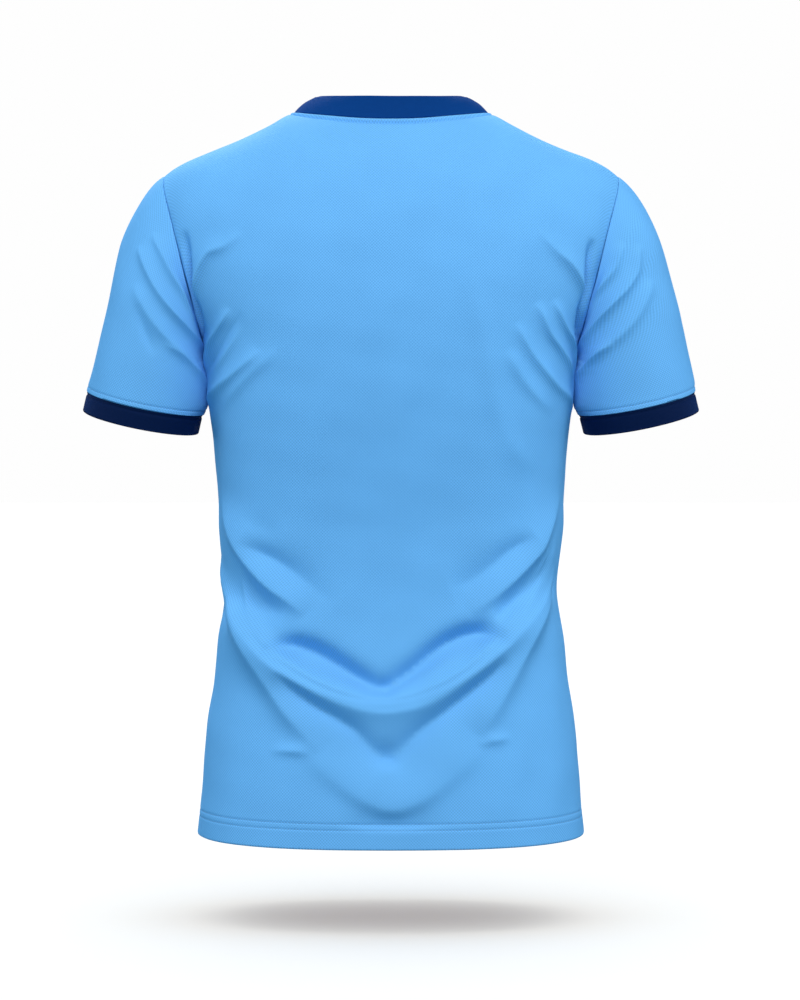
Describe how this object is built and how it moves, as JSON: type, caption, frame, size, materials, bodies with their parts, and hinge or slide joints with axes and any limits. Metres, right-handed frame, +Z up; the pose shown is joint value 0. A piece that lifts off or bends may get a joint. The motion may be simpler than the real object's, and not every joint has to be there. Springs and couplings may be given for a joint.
{
  "type": "short-sleeved cricket jersey",
  "caption": "Short-sleeved sports jersey kept hollow in its worn shape, with a stand-up crew collar, set-in sleeves, banded cuffs and a turned hem; neck, cuffs and hem are open.",
  "frame": {"origin": "middle of the neck opening, level with the neck points, where the wearer's neck and shoulders hold the garment", "axes": "+Z up, +Y out of the back, -Y out of the front, +X to the wearer's left, which is the left of the picture in the picture's back view"},
  "size_m": [0.6182, 0.2721, 0.7407],
  "materials": {
    "light_blue_knit": "light blue birdseye sports knit with a fine diamond texture and a soft low sheen",
    "navy_collar_rib": "navy fine rib knit, matt",
    "navy_cuff_rib": "dark navy fine rib knit, matt"
  },
  "bodies": {
    "root": {"back_panel": "light_blue_knit", "front_panel": "light_blue_knit", "sleeve_left": "light_blue_knit", "sleeve_right": "light_blue_knit", "collar_band": "navy_collar_rib", "cuff_left": "navy_cuff_rib", "cuff_right": "navy_cuff_rib"}
  },
  "joints": []
}
